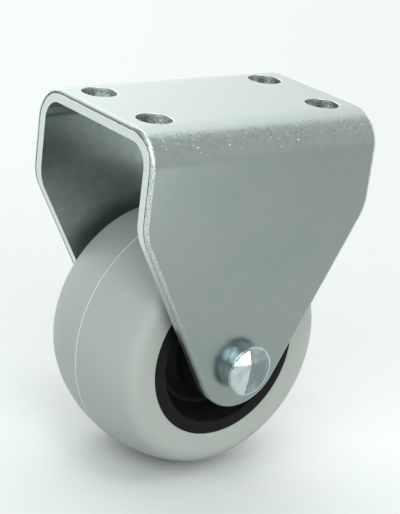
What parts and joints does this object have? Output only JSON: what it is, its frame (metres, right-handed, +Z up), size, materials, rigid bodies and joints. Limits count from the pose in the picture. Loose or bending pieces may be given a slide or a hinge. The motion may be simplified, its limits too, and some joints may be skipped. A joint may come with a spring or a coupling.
{
  "type": "fixed furniture caster",
  "caption": "Fixed caster: a soft-tread wheel on a riveted axle in a folded steel bracket with screw holes in its flat top.",
  "frame": {"origin": "centre of the mounting face, which is the flat top of the bracket", "axes": "+Z up, out of the mounting face; +Y along the axle, away from the made head of the rivet; +X the way the wheel rolls"},
  "size_m": [0.052, 0.0415, 0.0718],
  "materials": {
    "zinc_plated_sheet": "zinc plated, satin",
    "zinc_plated_rivet": "bright zinc plated",
    "steel_tube": "drawn tube",
    "black_moulding": "moulded, satin",
    "grey_tread": "moulded, matte"
  },
  "bodies": {
    "fork": {"bracket": "zinc_plated_sheet", "axle_rivet": "zinc_plated_rivet", "axle_sleeve": "steel_tube"},
    "wheel": {"wheel_core": "black_moulding", "tread": "grey_tread"}
  },
  "joints": [
    {"name": "wheel_spin", "type": "hinge", "parent": "fork", "child": "wheel", "pos_m": [0, 0, -0.0467], "axis": [0, 1, 0], "continuous": true}
  ]
}
